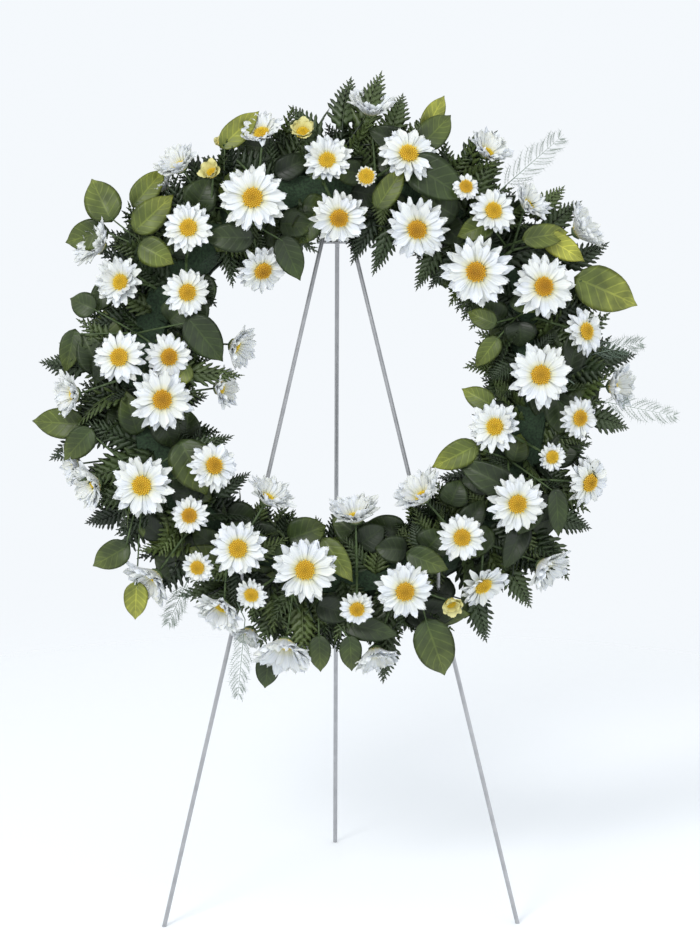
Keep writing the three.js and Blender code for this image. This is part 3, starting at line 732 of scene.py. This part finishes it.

# ---- Lemon leaf ----
# Sprigs of salal: leathery, broad, pointed leaves with a pale midrib and looping side veins.
# Their greens run from near black-green to fresh lime, partly the leaves' own and partly painted light
# and shade.
# Each leaf: clock, reach, rise of its foot, the same of its tip, width, bow, tone 0 to 1, whose low
# values hold painted shade as well as the leaf's own dark green.
SALAL_SPRIGS = (
    ((17, 262, 62, 35, 252, 62, 48, 8, 0.22), (12, 200, 60, 17, 256, 62, 28, 4, 0.55),
     (19, 281, 40, 23, 331, 22, 34, 8, 0.4), (19, 300, 30, 20.5, 350, 10, 24, 6, 0.75)),
    ((54, 284, 50, 64, 312, 34, 28, 6, 0.9), (52, 262, 62, 57, 312, 38, 28, 8, 0.6),
     (44, 252, 58, 39, 212, 56, 30, 6, 0.45)),
    ((66, 292, 46, 75.8, 353, 16, 50, 10, 0.65), (70, 190, 54, 61, 166, 40, 24, 6, 0.45),
     (74, 188, 50, 83.7, 156, 36, 24, 6, 0.5)),
    ((114, 172, 54, 133, 142, 40, 32, 8, 0.6), (99, 178, 52, 92.8, 139, 38, 26, 6, 0.55),
     (122, 236, 60, 124, 160, 48, 36, 8, 0.15), (116, 272, 56, 125.4, 305, 38, 24, 6, 0.2)),
    ((160.3, 284, 46, 160.4, 356, 14, 46, 10, 0.4), (159, 206, 60, 150, 245, 58, 30, 6, 0.35)),
    ((186.7, 176, 56, 176.5, 226, 62, 28, 6, 0.55), (185, 286, 46, 184, 330, 30, 26, 6, 0.35),
     (178, 286, 46, 177.8, 329, 28, 26, 6, 0.35), (194.7, 318, 12, 193.9, 360, 2, 28, 5, 0.2)),
    ((232.6, 300, 40, 233.7, 350, 18, 32, 8, 0.4), (226, 322, 24, 221, 357, 8, 28, 6, 0.8),
     (250.9, 191, 58, 230, 197, 50, 50, 8, 0.4), (260, 284, 46, 254.6, 325, 26, 32, 6, 0.35),
     (261, 292, 30, 263.3, 353, 8, 36, 8, 0.45)),
    ((287, 288, 36, 287.8, 321, 20, 30, 5, 0.25), (282, 306, 28, 272.3, 312, 22, 26, 4, 0.35),
     (294, 188, 62, 280.7, 134, 38, 40, 8, 0.2), (277, 170, 56, 269, 192, 58, 24, 4, 0.65)),
    ((305.6, 316, 28, 309.9, 366, 4, 42, 8, 0.5), (304, 314, 24, 297.5, 351, 2, 36, 7, 0.4),
     (306.5, 289, 46, 319, 284, 44, 36, 6, 0.6), (305, 276, 56, 306, 230, 60, 34, 5, 0.55)),
    ((333.3, 298, 46, 344, 322, 30, 28, 6, 0.75), (338.5, 180, 48, 339.5, 124, 34, 32, 6, 0.2),
     (330, 190, 56, 317, 226, 58, 34, 6, 0.15), (310.6, 308, 36, 321.3, 314, 24, 30, 5, 0.6)),
)
LEAF_ALONG = 12
LEAF_ACROSS = 8
LEAF_HALF = (0, 0.52, 0.80, 0.95, 1.0, 1.0, 0.96, 0.89, 0.78, 0.62, 0.41, 0.17, 0)
LEAF_FOLD = 0.3
LEAF_SKIN = 0.5 * MM
SALAL_TWIG = 1.3 * MM
SALAL_ROOT_SHIFT = 9
SALAL_FORK_RISE = 34
random.seed(31)

lemon_leaf, nodes, links, shader = new_material("lemon_leaf", 0.44)
shader.inputs["Specular IOR Level"].default_value = 0.4
run = attribute_node(nodes, "run").outputs["Fac"]
across = attribute_node(nodes, "across").outputs["Fac"]
tone = attribute_node(nodes, "tone").outputs["Fac"]
under = attribute_node(nodes, "under").outputs["Fac"]
# Each leaf is painted lighter towards its tip and darker towards its foot: painted light and painted
# shade. The ramp's near-black end is painted shade as well as dark leaf green.
past_middle = calculate(nodes, links, "SUBTRACT", run, 0.45)
painted_light_along_leaf = calculate(nodes, links, "MULTIPLY", past_middle, 0.28)
body = ramp(nodes, links, calculate(nodes, links, "ADD", tone, painted_light_along_leaf), (
    (0.0, (0.012, 0.020, 0.009)),
    (0.3, (0.032, 0.052, 0.015)),
    (0.6, (0.105, 0.135, 0.026)),
    (1.0, (0.36, 0.37, 0.06))))
side = calculate(nodes, links, "ABSOLUTE", across)
midrib = calculate(nodes, links, "LESS_THAN", side, 0.05)
sweep = calculate(nodes, links, "SUBTRACT", run, calculate(nodes, links, "MULTIPLY", side, 0.22))
wave = calculate(nodes, links, "SINE", calculate(nodes, links, "MULTIPLY", sweep, 44.0))
veins = calculate(nodes, links, "POWER", calculate(nodes, links, "MAXIMUM", wave, 0.0), 9.0)
ribs = calculate(nodes, links, "MAXIMUM", veins, midrib)
patch = add_mottle(nodes, (0.6, 0.62, 0.6), (1.3, 1.28, 1.1), 48)
mottled = colour_mix(nodes, links, 1.0, body.outputs["Color"], patch.outputs["Color"], "MULTIPLY")
pale = colour_mix(nodes, links, 1.0, mottled, (1.9, 1.8, 1.7), "MULTIPLY")
veined = colour_mix(nodes, links, calculate(nodes, links, "MULTIPLY", ribs, 0.7), mottled, pale)
below = colour_mix(nodes, links, 0.45, veined, (0.20, 0.26, 0.12))
links.new(colour_mix(nodes, links, under, veined, below), shader.inputs["Base Color"])
add_bump(nodes, links, calculate(nodes, links, "MULTIPLY", ribs, -1.0), shader, 0.35, 0.0006)


def leaf(row):
    """One leaf as a closed skin on a bowed midrib, with a shallow fold and a waved edge."""
    clock, reach, rise, tip_clock, tip_reach, tip_rise, width, bow, tone = row
    foot, tip = on_clock(clock, reach, rise), on_clock(tip_clock, tip_reach, tip_rise)
    middle = foot.lerp(tip, 0.5) + FORWARD * 2 * bow * MM
    midrib = curve_points(foot, middle, tip, LEAF_ALONG)
    side = (tip - foot).cross(FORWARD).normalized()
    wave = random.uniform(0.02, 0.07)
    phase = random.uniform(0, 6)
    curl = random.uniform(-0.10, 0.12)
    top, under = [], []
    for row_index, centre in enumerate(midrib):
        ahead = midrib[min(row_index + 1, LEAF_ALONG)] - midrib[max(row_index - 1, 0)]
        up = side.cross(ahead).normalized()
        half = LEAF_HALF[row_index] * width * MM / 2
        for column in range(LEAF_ACROSS + 1):
            u = 2 * column / LEAF_ACROSS - 1
            ripple = math.sin(phase + 9 * row_index / LEAF_ALONG + (2 if u > 0 else 0))
            lift = LEAF_FOLD * abs(u) ** 0.85 - curl * u * u + wave * abs(u) * ripple
            point = centre + side * half * u + up * half * lift
            rimmed = row_index in (0, LEAF_ALONG) or column in (0, LEAF_ACROSS)
            top.append(point)
            under.append(None if rimmed else point - up * LEAF_SKIN)
    made = shell("leaf", top, under, LEAF_ALONG, LEAF_ACROSS)
    set_attribute(made.data, "tone", "FLOAT", [tone] * len(made.data.vertices))
    made.data.materials.append(lemon_leaf)
    return made


def inside_blade(row, share=0.12):
    """A place on a blade's midrib, a little way up from its foot, where its stem ends."""
    foot, tip = on_clock(*row[:3]), on_clock(*row[3:6])
    middle = foot.lerp(tip, 0.5) + FORWARD * 2 * row[7] * MM
    return foot * (1 - share) ** 2 + middle * 2 * share * (1 - share) + tip * share * share


for number, leaves in enumerate(SALAL_SPRIGS, start=1):
    parts = [leaf(row) for row in leaves]
    feet = [inside_blade(row) for row in leaves]
    twigs = stems_to(feet, SALAL_ROOT_SHIFT, SALAL_FORK_RISE, SALAL_TWIG)
    parts.append(merged_mesh("twigs", twigs, green_stem))
    sprig = gathered(f"salal_sprig_{number:02d}_leaves", parts)
    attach(sprig, "front_frame")
    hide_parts(f"salal_sprig_{number:02d}")

# ---- Leatherleaf fern ----
# Stiff dark triangular fronds, each a midrib with rows of lobed leaflets, set in among the
# flowers until no foam shows and left standing out past the rim.
# Each frond: clock, reach, rise of its foot, the same of its tip, width, bow.
FERN_FRONDS = (
    ((356, 275, 36, 350, 321, 24, 40, 8), (1, 290, 32, 1.7, 353, 12, 46, 12),
     (5, 290, 32, 8.2, 360, 8, 46, 10)),
    ((12, 290, 32, 12.8, 339, 14, 40, 10), (18, 280, 40, 18, 326, 26, 34, 8),
     (30, 290, 28, 32.5, 341, 8, 42, 10)),
    ((12, 190, 40, 6, 134, 30, 32, 6), (18, 186, 44, 19.8, 126, 32, 34, 8),
     (36, 190, 44, 40.2, 136, 30, 34, 8), (42, 196, 42, 46, 146, 26, 32, 8)),
    ((50, 290, 22, 49.2, 344, 2, 40, 8), (54, 290, 26, 52.6, 349, 14, 38, 8),
     (63, 290, 16, 62.8, 350, 2, 40, 8)),
    ((85, 290, 28, 84.8, 343, 10, 40, 10), (98, 290, 22, 98.3, 340, 4, 40, 10),
     (84, 196, 46, 89, 172, 40, 30, 4)),
    ((122, 288, 32, 120.2, 334, 18, 38, 8), (128, 290, 24, 130, 352, 4, 44, 10),
     (138, 290, 22, 139.7, 340, 6, 40, 8)),
    ((148, 290, 22, 150.6, 343, 6, 40, 8), (170, 290, 22, 171, 352, 2, 42, 10),
     (154, 206, 46, 152, 176, 36, 30, 4)),
    ((228, 190, 48, 225.3, 142, 34, 30, 6), (240, 288, 16, 240.5, 334, 4, 38, 8),
     (246, 186, 46, 243.9, 133, 34, 30, 6)),
    ((258, 290, 16, 255.3, 343, 0, 38, 8), (274, 290, 22, 273.4, 345, 6, 40, 10),
     (274, 186, 46, 275, 108, 30, 36, 8)),
)
LEAFLET_ROWS = 6
LEAFLET_PAIRS = 8
FERN_STALK = 1.2 * MM
FINE_ROOT_SHIFT = 17
FINE_FORK_RISE = 29
BED_PARTS = 4
BED_FRONDS = 120
random.seed(47)

fern_green, nodes, links, shader = new_material("leatherleaf", 0.45)
chance = attribute_node(nodes, "chance").outputs["Fac"]
shade = ramp(nodes, links, chance, (
    (0.0, (0.012, 0.022, 0.010)),
    (0.5, (0.030, 0.050, 0.018)),
    (1.0, (0.085, 0.12, 0.035))))
patch = add_mottle(nodes, (0.75, 0.75, 0.75), (1.3, 1.3, 1.2), 40)
patched = colour_mix(nodes, links, 1.0, shade.outputs["Color"], patch.outputs["Color"], "MULTIPLY")
links.new(patched, shader.inputs["Base Color"])
add_bump(nodes, links, patch.outputs["Height"], shader, 0.2, 0.0004)


def leaflet_shape():
    """A lobed leaflet one unit long, its lobes pointing forward."""
    top, under = [], []
    for row in range(LEAFLET_ROWS + 1):
        t = row / LEAFLET_ROWS
        taper = (1 - t) ** 0.8
        lobe = row % 2 == 1
        half = (0.36 if lobe else 0.20) * taper + 0.01
        y = t + (0.05 if lobe else -0.03) * taper
        for u in (-1, 0, 1):
            top.append((u * half, y if u else t, -0.04 * abs(u)))
            under.append(None if u or row in (0, LEAFLET_ROWS) else (0, t, -0.05))
    return shell("leaflet", top, under, LEAFLET_ROWS, 2)


def frond_shape(name, arch, droop, bend, leaflet):
    """A frond one unit long: paired leaflets up a thin midrib."""
    spots = []

    def at(t):
        return Vector((bend * t * t, t, arch * 4 * t * (1 - t) - droop * t * t))

    for pair in range(LEAFLET_PAIRS):
        t = 0.05 + 0.88 * (pair / LEAFLET_PAIRS) ** 0.92
        ahead = (at(t + 0.02) - at(t)).normalized()
        length = 0.50 * (1 - t) ** 0.85 * min(1.0, 0.75 + 2 * t) + 0.03
        for side in (-1, 1):
            across = Vector((side, 0, 0))
            angle = math.radians(58 - 22 * t + random.uniform(-4, 4))
            along = ahead * math.cos(angle) + across * math.sin(angle) + Vector((0, 0, -0.12))
            along.normalize()
            face = along.cross(ahead) if side < 0 else ahead.cross(along)
            face = -face if face.z < 0 else face
            spots.append((at(t + 0.02 * side), along, face.normalized(), (length * 0.85, length, length)))
    spots.append((at(0.9), (at(1.0) - at(0.9)).normalized(), Vector((0, 0, 1)), (0.10, 0.12, 0.12)))
    leaflets = set_on_spots("leaflets", spots, leaflet, 1.0, 3, fern_green)
    rib = tube([at(step / 6) for step in range(7)], [0.014 - 0.0018 * step for step in range(7)], 4)
    frond = gathered(name, [leaflets, merged_mesh("midrib", [rib], fern_green)])
    frond.data.attributes.remove(frond.data.attributes["chance"])
    return frond


leaflet = leaflet_shape()
fronds = (
    frond_shape("frond_bowed", 0.10, 0.0, 0.0, leaflet),
    frond_shape("frond_bent", 0.08, 0.1, 0.12, leaflet),
    frond_shape("frond_drooping", 0.06, 0.22, -0.10, leaflet),
)


def frond_spot(row):
    """The spot and stretch that set a frond from its foot to its tip."""
    foot, tip = on_clock(*row[:3]), on_clock(*row[3:6])
    along = tip - foot
    up = along.cross(FORWARD).cross(along).normalized()
    length = along.length
    return foot, along.normalized(), up, (row[6] * MM * 1.15, length, length)


for number, rows in enumerate(FERN_FRONDS, start=1):
    parts = []
    for index, row in enumerate(rows):
        seed = number * 10 + index
        parts.append(set_on_spots("frond", [frond_spot(row)], fronds[index % 2], 1.0, seed, fern_green))
    feet = [inside_blade(row) for row in rows]
    stalks = stems_to(feet, FINE_ROOT_SHIFT, FINE_FORK_RISE, FERN_STALK)
    parts.append(merged_mesh("stalks", stalks, fern_green))
    clump = gathered(f"fern_frond_{number:02d}_leaflets", parts)
    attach(clump, "front_frame")
    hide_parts(f"fern_frond_{number:02d}")


def bed_spots(first_clock, last_clock, count):
    """Fronds pushed in all over the foam, leaning every way, lowest at the rims."""
    spots = []
    for _ in range(count):
        clock = random.uniform(first_clock, last_clock)
        side = math.copysign(abs(random.uniform(-1, 1)) ** 0.6, random.uniform(-0.8, 1))
        root = on_clock(clock, RING_RADIUS / MM + 24 * side, 26 - 22 * side * side)
        lean = math.radians(math.copysign(62 + 22 * abs(side), side) + random.uniform(-8, 8))
        away = FORWARD * math.cos(lean) + outward(clock) * math.sin(lean)
        away = (away + outward(clock + 90) * random.uniform(-0.9, 0.9)).normalized()
        face = (away.cross(outward(clock + 90)) * random.choice((-1, 1)) + FORWARD * 0.9).normalized()
        length = random.uniform(54, 84) * MM * (1.0 if side > 0.35 else 0.72)
        spots.append((root, away, face, (length * random.uniform(0.75, 1.0), length, length)))
    return spots


for part in range(BED_PARTS):
    spots = bed_spots(90 * part, 90 * (part + 1), BED_FRONDS)
    parts = [set_on_spots("bed", spots[index::3], shape, 1.0, 100 + part * 3 + index, fern_green)
             for index, shape in enumerate(fronds)]
    bed = gathered(f"fern_bed_{part + 1}", parts)
    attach(bed, "front_frame")
for shape in (leaflet, *fronds):
    take_down(shape)

# ---- Filler leaves ----
# Lemon leaves cut short and pushed in low between the flowers, where they hide the foam. Their
# dark greens are painted shade, for the shade that falls between the flowers.
FILLER_LEAVES = 120
FILLER_BOW = 6
random.seed(58)
fillers = []
for index in range(FILLER_LEAVES):
    clock = 360 * (index + random.uniform(-0.4, 0.4)) / FILLER_LEAVES
    side = random.choice((-1, 1)) * random.uniform(0.1, 1.0)
    reach = RING_RADIUS / MM + (54 if side > 0 else 40) * side
    rise = random.uniform(20, 54) - 18 * abs(side)
    tip_reach = reach + random.uniform(10, 36) * side
    tip_clock = clock + random.choice((-1, 1)) * random.uniform(7, 14)
    tip_rise = rise + random.uniform(-12, 8)
    width = random.uniform(28, 40)
    # Dark tones only: painted shade.
    tone = random.uniform(0.0, 0.42)
    fillers.append(leaf((clock, reach, rise, tip_clock, tip_reach, tip_rise, width, FILLER_BOW, tone)))
filler = gathered("salal_filler_leaves", fillers)
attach(filler, "front_frame")

# ---- Plumosus ----
# Thin wiry sprigs with flat sprays of needle-fine green, the palest and longest of the greens.
# Each sprig: clock, reach, rise of its foot, the same of its tip, width, bow.
PLUMOSUS_SPRIGS = (
    ((40, 280, 30, 42.5, 384, 6, 34, 14),),
    ((94, 290, 30, 96, 393, 10, 26, 10), (84, 284, 30, 82.6, 352, 16, 24, 8)),
    ((202, 290, 24, 198, 381, 2, 24, 10), (218, 280, 24, 215.6, 340, 6, 26, 8)),
)
TWIG_PAIRS = 15
WIRE_STEPS = 24
WIRE_RADIUS = 0.6 * MM
TWIG_STEPS = 6
TWIG_RADIUS = 0.22 * MM
PLUMOSUS_STALK = 0.9 * MM
random.seed(63)

feathery, nodes, links, shader = new_material("plumosus", 0.7)
tint = add_mottle(nodes, (0.13, 0.19, 0.14), (0.28, 0.35, 0.28), 30)
links.new(tint.outputs["Color"], shader.inputs["Base Color"])
needle = mesh_object("needle", [(-0.04, 0, 0), (0.04, 0, 0), (0, 0, 0.05), (0, 1, 0)],
                     [(0, 1, 2), (0, 3, 1), (1, 3, 2), (2, 3, 0)])


def feather(row):
    """One sprig: a bowed wire with side twigs, and needles all along them."""
    foot, tip = on_clock(*row[:3]), on_clock(*row[3:6])
    middle = foot.lerp(tip, 0.5) + FORWARD * 2 * row[7] * MM
    wire = curve_points(foot, middle, tip, WIRE_STEPS)
    ahead = (tip - foot).normalized()
    side = (tip - foot).cross(FORWARD).normalized()
    radii = [WIRE_RADIUS * (1 - 0.8 * step / WIRE_STEPS) for step in range(WIRE_STEPS + 1)]
    solids = [tube(wire, radii, 4)]
    spots = []
    for pair in range(TWIG_PAIRS * 2):
        t = 0.12 + 0.84 * pair / (TWIG_PAIRS * 2)
        root = wire[round(WIRE_STEPS * t)]
        hand = 1 if pair % 2 else -1
        swell = math.sin(math.pi * min(1, 0.25 + 0.75 * t)) ** 0.6
        reach = row[6] * MM * 0.5 * swell * random.uniform(0.8, 1.25)
        direction = ahead * random.uniform(0.6, 1.1) + side * hand
        direction = (direction + FORWARD * random.uniform(-0.3, 0.4)).normalized()
        twig_tip = root + direction * reach + ahead * reach * 0.35
        twig = curve_points(root, root + direction * reach * 0.6, twig_tip, TWIG_STEPS)
        solids.append(tube(twig, [TWIG_RADIUS] * (TWIG_STEPS + 1), 3))
        for step in range(1, TWIG_STEPS + 1):
            for lean in (-1, 1):
                along = (direction + ahead.cross(direction).cross(direction) * lean * 0.9).normalized()
                length = random.uniform(3.5, 6.5) * MM
                spots.append((twig[step], along, FORWARD, (length, length, length)))
    return solids, spots


for number, rows in enumerate(PLUMOSUS_SPRIGS, start=1):
    solids, spots = [], []
    for row in rows:
        more_solids, more_spots = feather(row)
        solids.extend(more_solids)
        spots.extend(more_spots)
    feet = [on_clock(*row[:3]) for row in rows]
    solids.extend(stems_to(feet, FINE_ROOT_SHIFT, FINE_FORK_RISE, PLUMOSUS_STALK))
    needles = set_on_spots("needles", spots, needle, 1.0, number, feathery)
    parts = [needles, merged_mesh("wires", solids, feathery)]
    sprig = gathered(f"plumosus_sprig_{number:02d}_feathers", parts)
    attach(sprig, "front_frame")
    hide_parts(f"plumosus_sprig_{number:02d}")
take_down(needle)
